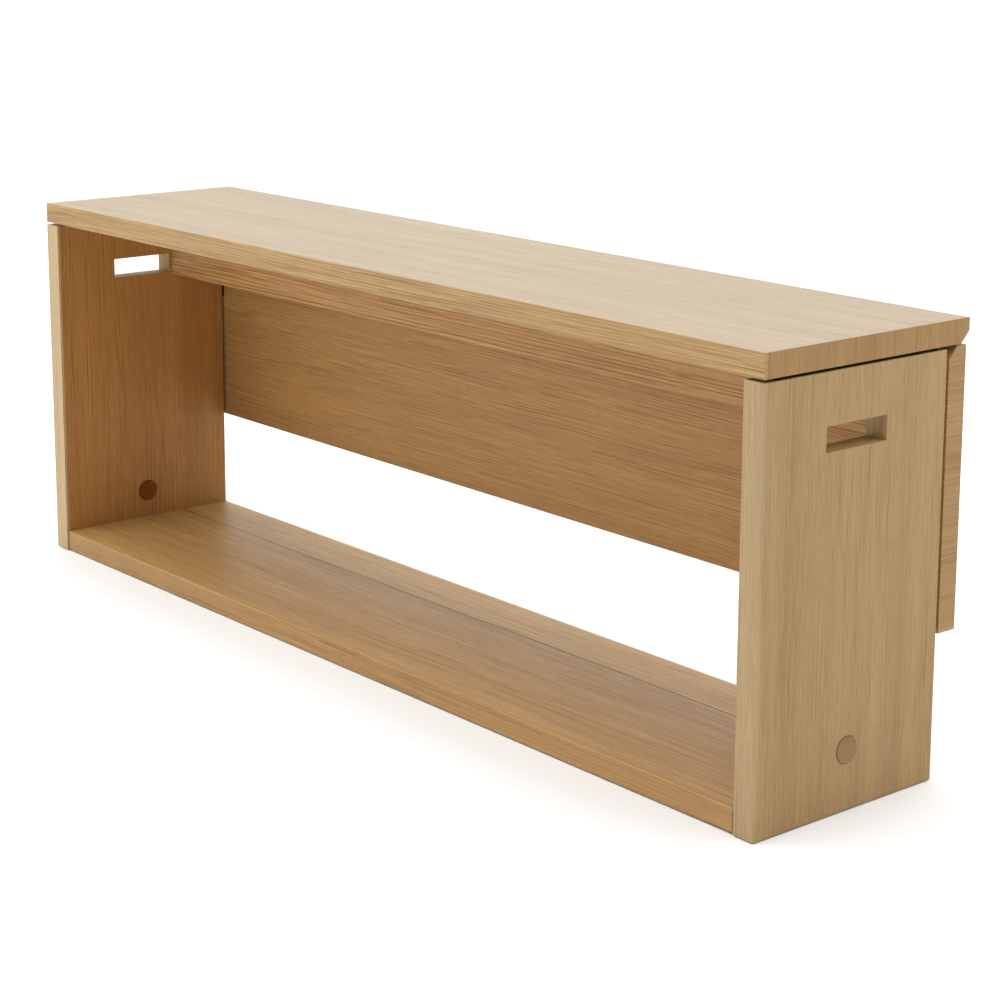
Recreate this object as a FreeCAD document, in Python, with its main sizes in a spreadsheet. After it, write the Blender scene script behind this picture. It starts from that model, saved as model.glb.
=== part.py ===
import FreeCAD, Part
import os
import re

# Extending dining table: two side panels, a floor shelf, a rail, and a top with a drop leaf at the rear.
# Frame: X along the length, front at -Y, leaf at +Y, Z up from the floor, origin at the bottom centre.

doc = FreeCAD.newDocument("ExtendingTable")

# Driving dimensions in millimetres.
SIZES = {
    # boards
    "top_length": 2000,
    "top_depth": 440,
    "top_thick": 38,
    "panel_thick": 40,
    "panel_height": 675,
    "pad_thick": 2,
    "top_gap": 5,
    "shelf_thick": 38,
    "shelf_lift": 3,
    "shelf_reveal": 3,
    "shelf_front_depth": 278,
    "seam_gap": 1,
    "front_edging": 5,
    "end_edging": 2,
    # rail under the top, and the hand slots in the panels
    "rail_thick": 38,
    "rail_height": 128,
    "rail_slot_margin": 7,
    "slot_length": 130,
    "slot_height": 39,
    "slot_drop": 80,
    # round plugs in the panels
    "plug_radius": 22,
    "plug_rim": 1.2,
    "plug_ease": 0.6,
    "plug_spigot_radius": 17.95,
    "plug_spigot": 15,
    "plug_height": 97,
    # leaf
    "leaf_depth": 445,
    "leaf_setback": 6,
    "leaf_drop": 2.4,
    "leaf_seam": 1,
    "panel_leaf_gap": 6,
    "edge_chamfer": 18,
    # concealed pivot hinges
    "hinge_end_inset": 120,
    "arm_width": 24,
    "arm_thick": 4,
    "arm_length": 110,
    "knuckle_radius": 6,
    "cheek_thick": 4,
    "hinge_wall": 2,
    "flange_thick": 2.5,
    "flange_ear": 18,
    "pin_radius": 2.5,
    # support bars that slide out of the top's rear edge
    "bar_width": 30,
    "bar_thick": 10,
    "bar_cover": 8,
    "bar_travel": 170,
    "bar_recess": 2,
    "bar_nose": 15,
    "knob_radius": 7,
    "knob_height": 12,
    "knob_stem": 4,
    "knob_rail_margin": 15,
    # knock-down joints
    "dowel_radius": 4,
    "dowel_in_panel": 20,
    "dowel_in_board": 30,
    "dowel_inset": 22,
    "cam_radius": 7.5,
    "cam_depth": 14,
    "cam_offset": 34,
    "cam_axis": 9.5,
    "bolt_radius": 3.5,
    "bolt_in_panel": 11,
    # top brackets, spacers, pads and bumpers
    "angle_leg": 30,
    "angle_thick": 2.5,
    "angle_length": 40,
    "spacer_inset": 6,
    "spacer_front": 30,
    "spacer_rear": 15,
    "pad_width": 30,
    "pad_length": 40,
    "pad_inset": 20,
    "bumper_width": 20,
    "bumper_height": 27,
    "bumper_level": 491,
    # screws and clearances
    "screw_head_radius": 3.6,
    "screw_head": 1.6,
    "screw_radius": 1.9,
    "screw_length": 16,
    "fit_clear": 0.05,
    "slide_clear": 0.3,
}

sheet = doc.addObject("Spreadsheet::Sheet", "Sizes")
for row, (alias, value) in enumerate(SIZES.items(), start=1):
    sheet.set(f"A{row}", alias)
    sheet.set(f"B{row}", str(value))
    sheet.setAlias(f"B{row}", alias)
doc.recompute()

WORD = re.compile(r"[a-z]+(?:_[a-z]+)*")


def bind(obj, prop, formula):
    """Binds one property to the sheet; the formula uses the sheet's words."""
    def cell(match):
        word = match.group(0)
        return f"Sizes.{word}" if word in SIZES else word
    obj.setExpression(prop, WORD.sub(cell, str(formula)))


def place(obj, x, y, z):
    for axis, formula in zip("xyz", (x, y, z)):
        bind(obj, f"Placement.Base.{axis}", formula)


def box(name, size, at):
    """A block with its low corner at the given place."""
    obj = doc.addObject("Part::Box", name)
    for prop, formula in zip(("Length", "Width", "Height"), size):
        bind(obj, prop, formula)
    place(obj, *at)
    return obj


TURNS = {
    "x": FreeCAD.Rotation(FreeCAD.Vector(0, 1, 0), 90),
    "-x": FreeCAD.Rotation(FreeCAD.Vector(0, 1, 0), -90),
    "y": FreeCAD.Rotation(FreeCAD.Vector(1, 0, 0), -90),
    "-y": FreeCAD.Rotation(FreeCAD.Vector(1, 0, 0), 90),
    "z": FreeCAD.Rotation(),
}
STEPS = {"x": (1, 0, 0), "-x": (-1, 0, 0), "y": (0, 1, 0), "z": (0, 0, 1)}


def rod(name, radius, length, at, axis):
    """A round bar that starts at the given place and runs along the axis."""
    obj = doc.addObject("Part::Cylinder", name)
    bind(obj, "Radius", radius)
    bind(obj, "Height", length)
    obj.Placement = FreeCAD.Placement(FreeCAD.Vector(), TURNS[axis])
    place(obj, *at)
    return obj


def along(at, axis, distance):
    """The place that lies a distance further along the axis."""
    return [f"({start}) + ({step})*({distance})" for start, step in zip(at, STEPS[axis])]


def fuse(name, pieces):
    obj = doc.addObject("Part::MultiFuse", name)
    obj.Shapes = pieces
    return obj


def cut(name, base, tools):
    obj = doc.addObject("Part::Cut", name)
    obj.Base = base
    obj.Tool = tools[0] if len(tools) == 1 else fuse(name + "_cuts", tools)
    return obj


def group(name, pieces):
    obj = doc.addObject("Part::Compound", name)
    obj.Links = pieces
    return obj


def screw(name, at, axis):
    """A round-headed screw whose head rests on the surface at the given place."""
    head = rod(name + "_head", "screw_head_radius", "screw_head", along(at, axis, "-screw_head"), axis)
    shank = rod(name + "_shank", "screw_radius", "screw_length", at, axis)
    return fuse(name, [head, shank])


def screw_hole(name, at, axis):
    return rod(name, "screw_radius + fit_clear", "screw_length", at, axis)


def screws(name, places, axis):
    return [screw(f"{name}_{number}", at, axis) for number, at in enumerate(places, start=1)]


def screw_holes(name, places, axis):
    return [screw_hole(f"{name}_{number}", at, axis) for number, at in enumerate(places, start=1)]


# Places that several pieces share.
HALF = "top_length/2"
FRONT = "(-top_depth/2)"
REAR = "(top_depth/2)"
PANEL_DEPTH = "(top_depth - leaf_setback - top_thick - panel_leaf_gap)"
PANEL_REAR = f"({FRONT} + {PANEL_DEPTH})"
PANEL_MID = f"({FRONT} + {PANEL_DEPTH}/2)"
PANEL_TOP = "(pad_thick + panel_height)"
INNER = "(top_length/2 - panel_thick)"
UNDERSIDE = f"({PANEL_TOP} + top_gap)"
TOP_FACE = f"({UNDERSIDE} + top_thick)"
RAIL_FRONT = f"({PANEL_MID} + slot_length/2 + rail_slot_margin)"
RAIL_REAR = f"({RAIL_FRONT} + rail_thick)"
RAIL_BOTTOM = f"({UNDERSIDE} - rail_height)"
SHELF_FRONT = f"({FRONT} + shelf_reveal)"
SEAM = f"({SHELF_FRONT} + shelf_front_depth)"
LEAF_OUTER = f"({REAR} - leaf_setback)"
LEAF_INNER = f"({LEAF_OUTER} - top_thick)"
LEAF_TOP = f"({UNDERSIDE} - leaf_drop)"
LEAF_BOTTOM = f"({LEAF_TOP} - leaf_depth)"

# The hinge line: the leaf lies flush with the top when raised and hangs under its rear edge when down.
PIVOT_INSET = "((leaf_setback + top_thick + leaf_drop - leaf_seam)/2)"
PIVOT_DEPTH = f"({PIVOT_INSET} - leaf_setback)"
PIVOT_Y = f"({REAR} - {PIVOT_INSET})"
PIVOT_Z = f"({TOP_FACE} - {PIVOT_DEPTH})"
ARM_REACH = f"(top_thick - {PIVOT_DEPTH})"
SWEEP = f"(sqrt({ARM_REACH}*{ARM_REACH} + knuckle_radius*knuckle_radius) + slide_clear)"

HINGE_SHARES = (-1, -0.3333, 0.3333, 1)
HINGE_X = [f"({share}*({HALF} - hinge_end_inset))" for share in HINGE_SHARES]
BAR_SHARES = (-0.6667, 0, 0.6667)
BAR_X = [f"({share}*({HALF} - hinge_end_inset))" for share in BAR_SHARES]
KNOB_Y = f"({RAIL_FRONT} - knob_rail_margin - knob_radius - bar_travel)"
BAR_FRONT = f"({KNOB_Y} - bar_nose)"
BAR_REAR = f"({REAR} - bar_recess)"
BAR_TOP = f"({TOP_FACE} - bar_cover)"
BAR_BOTTOM = f"({BAR_TOP} - bar_thick)"

SIDES = (("left", -1), ("right", 1))
parts = []


def node(obj):
    """Keeps a finished piece; its label names its file."""
    obj.Label = obj.Name
    parts.append(obj)
    return obj


def span_x(sign, near, width):
    """Low X of a block that starts at a distance from the middle and runs outwards."""
    return f"({near})" if sign > 0 else f"(-({near}) - ({width}))"


def rear_chamfer(name):
    """Cutter for the slope under the top's rear edge, longer than the top."""
    tool = doc.addObject("Part::Box", name)
    bind(tool, "Length", "top_length*2")
    bind(tool, "Width", "edge_chamfer*sqrt(2)*2")
    bind(tool, "Height", "edge_chamfer*2")
    tool.Placement = FreeCAD.Placement(FreeCAD.Vector(), FreeCAD.Rotation(FreeCAD.Vector(1, 0, 0), 45))
    reach = "edge_chamfer*sqrt(2)"
    half_run = "edge_chamfer*0.5"
    place(tool, "-top_length",
          f"{REAR} - edge_chamfer - {half_run} + {reach}", f"{UNDERSIDE} - {half_run} - {reach}")
    return tool


def leaf_chamfer(name):
    """Cutter for the slope on the hanging leaf's inner upper edge, longer than the leaf."""
    tool = doc.addObject("Part::Box", name)
    bind(tool, "Length", "top_length*2")
    bind(tool, "Width", "edge_chamfer*sqrt(2)*2")
    bind(tool, "Height", "edge_chamfer*2")
    tool.Placement = FreeCAD.Placement(FreeCAD.Vector(), FreeCAD.Rotation(FreeCAD.Vector(1, 0, 0), 45))
    half_run = "edge_chamfer*0.5"
    place(tool, "-top_length", f"{LEAF_INNER} - {half_run}", f"{LEAF_TOP} - edge_chamfer - {half_run}")
    return tool


# Places of the knock-down joints: (y, dowel or bolt height) at each panel.
REAR_BOARD_FRONT = f"({SEAM} + seam_gap)"
DOWEL_LEVEL = "(shelf_lift + shelf_thick/2)"
SHELF_DOWELS = [
    (f"{SHELF_FRONT} + front_edging + dowel_inset", DOWEL_LEVEL),
    (f"{SEAM} - dowel_inset", DOWEL_LEVEL),
    (f"{REAR_BOARD_FRONT} + dowel_inset", DOWEL_LEVEL),
    (f"{PANEL_REAR} - dowel_inset", DOWEL_LEVEL),
]
RAIL_MID_Y = f"({RAIL_FRONT} + rail_thick/2)"
RAIL_DOWELS = [
    (RAIL_MID_Y, f"{RAIL_BOTTOM} + dowel_inset"),
    (RAIL_MID_Y, f"{PANEL_TOP} - dowel_inset"),
]
SHELF_BOLTS = [
    (f"({SHELF_FRONT} + {SEAM})/2", "shelf_lift + cam_axis"),
    (f"({REAR_BOARD_FRONT} + {PANEL_REAR})/2", "shelf_lift + cam_axis"),
]
RAIL_BOLT = (f"{RAIL_REAR} - cam_axis", f"({RAIL_BOTTOM} + {PANEL_TOP})/2")
ANGLE_YS = (PANEL_MID, f"(({RAIL_REAR} + {PANEL_REAR})/2)")
ANGLE_SCREW_SHARE = 0.6


def joint_rods(name, places, radius, in_panel, in_board, sign):
    """Round bars across the joint between a panel and the board ends, one for each place."""
    out = []
    axis = "x" if sign > 0 else "-x"
    for number, (y, z) in enumerate(places, start=1):
        start = (f"{sign}*({INNER} - ({in_board}))", y, z)
        out.append(rod(f"{name}_{number}", radius, f"({in_panel}) + ({in_board})", start, axis))
    return out


HOLE = "dowel_radius + fit_clear"
BOLT_HOLE = "bolt_radius + fit_clear"
BOLT_IN_BOARD = "(cam_offset - cam_radius - fit_clear)"

# Side panels with hand slots, plug holes and joint holes.
for side, sign in SIDES:
    outward = "x" if sign > 0 else "-x"
    core_y = f"{FRONT} + front_edging"
    core = box(f"panel_core_{side}", ("panel_thick", f"{PANEL_DEPTH} - front_edging", "panel_height"),
               (span_x(sign, INNER, "panel_thick"), core_y, "pad_thick"))
    tools = [box(f"slot_{side}", ("panel_thick*2", "slot_length", "slot_height"),
                 (span_x(sign, f"{INNER} - panel_thick/2", "panel_thick*2"),
                  f"{PANEL_MID} - slot_length/2", f"{PANEL_TOP} - slot_drop - slot_height"))]
    tools.append(rod(f"plug_hole_{side}", "plug_spigot_radius + fit_clear", "panel_thick*2",
                     (f"{sign}*({INNER} - panel_thick/2)", PANEL_MID, "plug_height"), outward))
    tools += joint_rods(f"panel_dowel_hole_{side}", SHELF_DOWELS + RAIL_DOWELS, HOLE,
                        "dowel_in_panel", "dowel_in_board", sign)
    tools += joint_rods(f"panel_bolt_hole_{side}", SHELF_BOLTS + [RAIL_BOLT], BOLT_HOLE,
                        "bolt_in_panel", BOLT_IN_BOARD, sign)
    for number, y in enumerate(ANGLE_YS, start=1):
        screw_at = (f"{sign}*{INNER}", y, f"{UNDERSIDE} - angle_leg/2 - top_gap/2")
        tools.append(screw_hole(f"panel_screw_hole_{side}_{number}", screw_at, outward))
    node(cut(f"side_panel_{side}", core, tools))
    node(box(f"panel_edge_{side}", ("panel_thick", "front_edging", "panel_height"),
             (span_x(sign, INNER, "panel_thick"), FRONT, "pad_thick")))

# Floor shelf of two boards, edged at the front.
SHELF_SPAN = f"({INNER}*2)"
shelf_front = box("shelf_front_core", (SHELF_SPAN, "shelf_front_depth - front_edging", "shelf_thick"),
                  (f"-{INNER}", f"{SHELF_FRONT} + front_edging", "shelf_lift"))
shelf_rear = box("shelf_rear_core", (SHELF_SPAN, f"{PANEL_REAR} - {REAR_BOARD_FRONT}", "shelf_thick"),
                 (f"-{INNER}", REAR_BOARD_FRONT, "shelf_lift"))
SEAM_DOWEL_SHARES = (-0.8, -0.27, 0.27, 0.8)


def seam_dowels(name, radius):
    return [rod(f"{name}_{number}", radius, "dowel_in_board*2",
                (f"{share}*{INNER}", f"{SEAM} + seam_gap/2 - dowel_in_board", DOWEL_LEVEL), "y")
            for number, share in enumerate(SEAM_DOWEL_SHARES, start=1)]


def board_holes(name, dowels, bolts, cam_axis_name, cam_face):
    """Holes in a board's two ends for its dowels, cam bolts and cams."""
    tools = []
    for side, sign in SIDES:
        tools += joint_rods(f"{name}_dowel_{side}", dowels, HOLE, "dowel_in_panel", "dowel_in_board", sign)
        tools += joint_rods(f"{name}_bolt_{side}", bolts, BOLT_HOLE, "bolt_in_panel", "cam_offset", sign)
        for number, (y, z) in enumerate(bolts, start=1):
            start = cam_place(sign, y, z, cam_face)
            tools.append(rod(f"{name}_cam_{side}_{number}", "cam_radius + fit_clear", "cam_depth",
                             start, cam_axis_name))
    return tools


def cam_place(sign, y, z, face):
    """Centre of a cam's open face, under the shelf or on the rail's rear face."""
    x = f"{sign}*({INNER} - cam_offset)"
    return (x, y, "shelf_lift") if face == "under" else (x, RAIL_REAR, z)


node(cut("shelf_front_board", shelf_front,
         board_holes("shelf_front", SHELF_DOWELS[:2], SHELF_BOLTS[:1], "z", "under")
         + seam_dowels("shelf_front_seam_hole", HOLE)))
node(cut("shelf_rear_board", shelf_rear,
         board_holes("shelf_rear", SHELF_DOWELS[2:], SHELF_BOLTS[1:], "z", "under")
         + seam_dowels("shelf_rear_seam_hole", HOLE)))
node(box("shelf_front_edge", (SHELF_SPAN, "front_edging", "shelf_thick"),
         (f"-{INNER}", SHELF_FRONT, "shelf_lift")))

# Rail between the panels.
rail = box("rail_core", (SHELF_SPAN, "rail_thick", "rail_height"), (f"-{INNER}", RAIL_FRONT, RAIL_BOTTOM))
node(cut("top_rail", rail, board_holes("rail", RAIL_DOWELS, [RAIL_BOLT], "-y", "rear")))

# Dowels, cam bolts and cams.
dowels = {"shelf_dowels": SHELF_DOWELS, "rail_dowels": RAIL_DOWELS}
for name, places in dowels.items():
    pieces = []
    for side, sign in SIDES:
        pieces += joint_rods(f"{name}_{side}", places, "dowel_radius",
                             "dowel_in_panel", "dowel_in_board", sign)
    node(group(name, pieces))
node(group("seam_dowels", seam_dowels("seam_dowel", "dowel_radius")))
bolts = []
cams = []
for side, sign in SIDES:
    bolts += joint_rods(f"cam_bolt_{side}", SHELF_BOLTS + [RAIL_BOLT], "bolt_radius",
                        "bolt_in_panel", BOLT_IN_BOARD, sign)
    for number, (y, z) in enumerate(SHELF_BOLTS, start=1):
        cams.append(rod(f"cam_{side}_{number}", "cam_radius", "cam_depth",
                        cam_place(sign, y, z, "under"), "z"))
    cams.append(rod(f"cam_{side}_rail", "cam_radius", "cam_depth",
                    cam_place(sign, *RAIL_BOLT, "rear"), "-y"))
node(group("cam_bolts", bolts))
node(group("cam_locks", cams))

# Round plugs that close the hole through each panel, one on each face.
for side, sign in SIDES:
    for face in ("outer", "inner"):
        out = sign if face == "outer" else -sign
        axis = "x" if out > 0 else "-x"
        surface = f"{sign}*{HALF}" if face == "outer" else f"{sign}*{INNER}"
        seat = (surface, PANEL_MID, "plug_height")
        name = f"plug_{side}_{face}"
        rim = rod(name + "_rim", "plug_radius", "plug_rim - plug_ease", seat, axis)
        crown = doc.addObject("Part::Cone", name + "_crown")
        bind(crown, "Radius1", "plug_radius")
        bind(crown, "Radius2", "plug_radius - plug_ease")
        bind(crown, "Height", "plug_ease")
        crown.Placement = FreeCAD.Placement(FreeCAD.Vector(), TURNS[axis])
        place(crown, *along(seat, axis, "plug_rim - plug_ease"))
        spigot_at = along(seat, axis, "-plug_spigot")
        spigot = rod(name + "_spigot", "plug_spigot_radius", "plug_spigot", spigot_at, axis)
        node(fuse(name, [rim, crown, spigot]))

# Spacer strips that hold the top off the panels, floor pads and leaf bumpers.
pads = []
bumpers = []
for side, sign in SIDES:
    spacer_width = "panel_thick - spacer_inset*2"
    node(box(f"spacer_{side}", (spacer_width, f"{PANEL_DEPTH} - spacer_front - spacer_rear", "top_gap"),
             (span_x(sign, f"{INNER} + spacer_inset", spacer_width), f"{FRONT} + spacer_front", PANEL_TOP)))
    pad_x = span_x(sign, f"{INNER} + panel_thick/2 - pad_width/2", "pad_width")
    for end, y in (("front", f"{FRONT} + pad_inset"), ("rear", f"{PANEL_REAR} - pad_inset - pad_length")):
        pads.append(box(f"pad_{side}_{end}", ("pad_width", "pad_length", "pad_thick"), (pad_x, y, "0")))
    bumpers.append(box(f"bumper_{side}", ("bumper_width", "panel_leaf_gap - slide_clear", "bumper_height"),
                       (span_x(sign, INNER, "bumper_width"), PANEL_REAR, "bumper_level")))
node(group("foot_pads", pads))
node(group("leaf_bumpers", bumpers))

# Steel angles that hold the top down on the panels.
angles = []
angle_screws = []
top_tools = []
for side, sign in SIDES:
    outward = "x" if sign > 0 else "-x"
    for number, y in enumerate(ANGLE_YS, start=1):
        tag = f"{side}_{number}"
        low_y = f"{y} - angle_length/2"
        upright = box(f"angle_upright_{tag}", ("angle_thick", "angle_length", "angle_leg"),
                      (span_x(sign, f"{INNER} - angle_thick", "angle_thick"),
                       low_y, f"{UNDERSIDE} - angle_leg"))
        flat = box(f"angle_flat_{tag}", ("angle_leg", "angle_length", "angle_thick"),
                   (span_x(sign, f"{INNER} - angle_leg", "angle_leg"),
                    low_y, f"{UNDERSIDE} - angle_thick"))
        panel_screw_at = (f"{sign}*({INNER} - angle_thick)", y, f"{UNDERSIDE} - angle_leg/2 - top_gap/2")
        top_screw_x = f"{sign}*({INNER} - angle_leg*{ANGLE_SCREW_SHARE})"
        top_screw_at = (top_screw_x, y, f"{UNDERSIDE} - angle_thick")
        holes = [screw_hole(f"angle_hole_x_{tag}", panel_screw_at, outward),
                 screw_hole(f"angle_hole_z_{tag}", top_screw_at, "z")]
        angles.append(cut(f"angle_{tag}", fuse(f"angle_blank_{tag}", [upright, flat]), holes))
        angle_screws.append(screw(f"angle_screw_x_{tag}", panel_screw_at, outward))
        angle_screws.append(screw(f"angle_screw_z_{tag}", top_screw_at, "z"))
        top_tools.append(screw_hole(f"top_angle_hole_{tag}", top_screw_at, "z"))
node(group("corner_angles", angles))
node(group("angle_screws", angle_screws))

# Hinges: a steel housing let into the top, an arm let into the leaf, and a pin.
BODY_WIDTH = "(arm_width + slide_clear*2 + cheek_thick*2)"
ARM_SLOT = "(arm_width + slide_clear*2)"
BODY_FRONT = f"({PIVOT_Y} - {SWEEP} - hinge_wall)"
BODY_REAR = f"({REAR} - edge_chamfer)"
BODY_TOP = f"({PIVOT_Z} + knuckle_radius + slide_clear + hinge_wall)"
SLOT_TOP = f"({PIVOT_Z} + knuckle_radius + slide_clear)"
FLANGE_WIDTH = f"({BODY_WIDTH} + flange_ear*2)"
FLANGE_DEPTH = f"({BODY_REAR} - {BODY_FRONT} - hinge_wall)"
FLANGE_MID = f"({BODY_FRONT} + {FLANGE_DEPTH}/2)"
ARM_SCREW_SHARES = (0.5, 0.7, 0.9)
body_screws = []
arm_screws = []
leaf_tools = []
for number, x in enumerate(HINGE_X, start=1):
    block_size = (BODY_WIDTH, f"{BODY_REAR} - {BODY_FRONT}", f"{BODY_TOP} - {UNDERSIDE}")
    block_at = (f"{x} - {BODY_WIDTH}/2", BODY_FRONT, UNDERSIDE)
    flange_size = (FLANGE_WIDTH, FLANGE_DEPTH, "flange_thick")
    flange_at = (f"{x} - {FLANGE_WIDTH}/2", BODY_FRONT, UNDERSIDE)
    blank = fuse(f"hinge_blank_{number}", [box(f"hinge_block_{number}", block_size, block_at),
                                           box(f"hinge_flange_{number}", flange_size, flange_at)])
    slot = box(f"hinge_slot_{number}",
               (ARM_SLOT, f"{REAR} - {PIVOT_Y} + {SWEEP}", f"{SLOT_TOP} - {UNDERSIDE} + hinge_wall"),
               (f"{x} - {ARM_SLOT}/2", f"{PIVOT_Y} - {SWEEP}", f"{UNDERSIDE} - hinge_wall"))
    pin_at = (f"{x} - {BODY_WIDTH}/2", PIVOT_Y, PIVOT_Z)
    pin_hole = rod(f"hinge_pin_hole_{number}", "pin_radius + fit_clear/2", BODY_WIDTH, pin_at, "x")
    screw_places = []
    for hand in (-1, 1):
        screw_places.append((f"{x} + {hand}*({BODY_WIDTH} + flange_ear)/2", FLANGE_MID, UNDERSIDE))
    holes = screw_holes(f"hinge_screw_hole_{number}", screw_places, "z")
    node(cut(f"hinge_body_{number}", blank, [slot, pin_hole] + holes))
    node(rod(f"hinge_pin_{number}", "pin_radius", BODY_WIDTH, pin_at, "x"))
    body_screws += screws(f"hinge_screw_{number}", screw_places, "z")

    # the same space comes out of the top, with room for the knuckle and the raised arm at the slope
    top_tools.append(box(f"top_mortise_{number}", block_size, block_at))
    top_tools.append(box(f"top_flange_seat_{number}", flange_size, flange_at))
    top_tools.append(box(f"top_knuckle_slot_{number}",
                         (ARM_SLOT, f"{PIVOT_Y} + knuckle_radius + slide_clear*2 - {BODY_REAR} + hinge_wall",
                          f"{SLOT_TOP} - {UNDERSIDE}"),
                         (f"{x} - {ARM_SLOT}/2", f"{BODY_REAR} - hinge_wall", UNDERSIDE)))
    top_tools.append(box(f"top_arm_slot_{number}", (ARM_SLOT, "edge_chamfer", "arm_thick + slide_clear*2"),
                         (f"{x} - {ARM_SLOT}/2", f"{BODY_REAR} - hinge_wall", UNDERSIDE)))
    top_tools += screw_holes(f"top_hinge_hole_{number}", screw_places, "z")

    plate = box(f"arm_plate_{number}", ("arm_width", "arm_thick", "arm_length + knuckle_radius"),
                (f"{x} - arm_width/2", LEAF_INNER, f"{PIVOT_Z} - arm_length"))
    neck = box(f"arm_neck_{number}", ("arm_width", ARM_REACH, "knuckle_radius*2"),
               (f"{x} - arm_width/2", LEAF_INNER, f"{PIVOT_Z} - knuckle_radius"))
    knuckle_at = (f"{x} - arm_width/2", PIVOT_Y, PIVOT_Z)
    knuckle = rod(f"arm_knuckle_{number}", "knuckle_radius", "arm_width", knuckle_at, "x")
    bore = rod(f"arm_bore_{number}", "pin_radius + fit_clear", "arm_width", knuckle_at, "x")
    arm_places = [(x, LEAF_INNER, f"{PIVOT_Z} - arm_length*{share}") for share in ARM_SCREW_SHARES]
    arm_holes = screw_holes(f"arm_hole_{number}", arm_places, "y")
    node(cut(f"hinge_arm_{number}", fuse(f"arm_blank_{number}", [plate, neck, knuckle]), [bore] + arm_holes))
    arm_screws += screws(f"arm_screw_{number}", arm_places, "y")
    leaf_tools.append(box(f"leaf_arm_seat_{number}", ("arm_width", "arm_thick", "arm_length"),
                          (f"{x} - arm_width/2", LEAF_INNER, f"{PIVOT_Z} - arm_length")))
    leaf_tools += screw_holes(f"leaf_arm_hole_{number}", arm_places, "y")
node(group("hinge_body_screws", body_screws))
node(group("hinge_arm_screws", arm_screws))

# Support bars: they slide out of the top's rear edge into sockets in the raised leaf.
for number, x in enumerate(BAR_X, start=1):
    bar = box(f"bar_blank_{number}", ("bar_width", f"{BAR_REAR} - {BAR_FRONT}", "bar_thick"),
              (f"{x} - bar_width/2", BAR_FRONT, BAR_BOTTOM))
    stem_hole = rod(f"bar_stem_hole_{number}", "knob_stem + fit_clear", "bar_thick/2",
                    (x, KNOB_Y, BAR_BOTTOM), "z")
    node(cut(f"support_bar_{number}", bar, [stem_hole]))
    knob_low = f"{UNDERSIDE} - slide_clear - knob_height"
    grip = rod(f"knob_grip_{number}", "knob_radius", "knob_height", (x, KNOB_Y, knob_low), "z")
    stem = rod(f"knob_stem_{number}", "knob_stem", f"{BAR_BOTTOM} + bar_thick/2 - {UNDERSIDE} + slide_clear",
               (x, KNOB_Y, f"{UNDERSIDE} - slide_clear"), "z")
    node(fuse(f"bar_knob_{number}", [grip, stem]))
    top_tools.append(box(f"bar_channel_{number}",
                         ("bar_width + slide_clear*2", f"{REAR} - {BAR_FRONT} + slide_clear + bar_recess",
                          "bar_thick + slide_clear*2"),
                         (f"{x} - bar_width/2 - slide_clear", f"{BAR_FRONT} - slide_clear",
                          f"{BAR_BOTTOM} - slide_clear")))
    knob_slot = "(knob_stem + slide_clear)"
    top_tools.append(box(f"knob_slot_{number}", (f"{knob_slot}*2", f"bar_travel + {knob_slot}*2",
                                                f"{BAR_BOTTOM} - {UNDERSIDE}"),
                         (f"{x} - {knob_slot}", f"{KNOB_Y} - {knob_slot}", UNDERSIDE)))
    leaf_tools.append(box(f"bar_socket_{number}",
                          ("bar_width + slide_clear*2", "bar_thick + slide_clear*2",
                           "bar_travel + bar_recess"),
                          (f"{x} - bar_width/2 - slide_clear",
                           f"{LEAF_OUTER} - bar_cover - bar_thick - slide_clear",
                           f"{LEAF_TOP} - bar_travel")))

# Top board with its edgings.
CORE_SPAN = "(top_length - end_edging*2)"
top_core = box("top_core", (CORE_SPAN, "top_depth - front_edging", "top_thick"),
               (f"-{CORE_SPAN}/2", f"{FRONT} + front_edging", UNDERSIDE))
node(cut("top_board", top_core, [rear_chamfer("top_slope")] + top_tools))
node(box("top_front_edge", ("top_length", "front_edging", "top_thick"), (f"-{HALF}", FRONT, UNDERSIDE)))
for side, sign in SIDES:
    end_x = span_x(sign, f"{HALF} - end_edging", "end_edging")
    blank = box(f"top_end_blank_{side}", ("end_edging", "top_depth - front_edging", "top_thick"),
                (end_x, f"{FRONT} + front_edging", UNDERSIDE))
    node(cut(f"top_end_{side}", blank, [rear_chamfer(f"top_end_slope_{side}")]))

# Drop leaf with its edgings, hanging at rest.
leaf_core = box("leaf_core", (CORE_SPAN, "top_thick", "leaf_depth - front_edging"),
                (f"-{CORE_SPAN}/2", LEAF_INNER, f"{LEAF_BOTTOM} + front_edging"))
node(cut("leaf_board", leaf_core, [leaf_chamfer("leaf_slope")] + leaf_tools))
node(box("leaf_free_edge", ("top_length", "top_thick", "front_edging"),
         (f"-{HALF}", LEAF_INNER, LEAF_BOTTOM)))
for side, sign in SIDES:
    end_x = span_x(sign, f"{HALF} - end_edging", "end_edging")
    blank = box(f"leaf_end_blank_{side}", ("end_edging", "top_thick", "leaf_depth - front_edging"),
                (end_x, LEAF_INNER, f"{LEAF_BOTTOM} + front_edging"))
    node(cut(f"leaf_end_{side}", blank, [leaf_chamfer(f"leaf_end_slope_{side}")]))

doc.recompute()

# Every object has to be sound before anything is written.
for obj in doc.Objects:
    if "Invalid" in obj.State or "Error" in obj.State:
        raise RuntimeError(f"{obj.Name} failed to rebuild: {obj.State}")
for obj in parts:
    if obj.Shape.isNull() or not obj.Shape.isValid():
        raise RuntimeError(f"{obj.Label} has no sound shape")

os.makedirs("parts", exist_ok=True)
for obj in parts:
    obj.Shape.exportStep(f"parts/{obj.Label}.step")
print(len(parts), "pieces written")
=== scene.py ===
"""Looks of the extending dining table: oak finishes, fittings, floor, light and camera."""
import math

import bpy
from mathutils import Matrix, Vector


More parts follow.
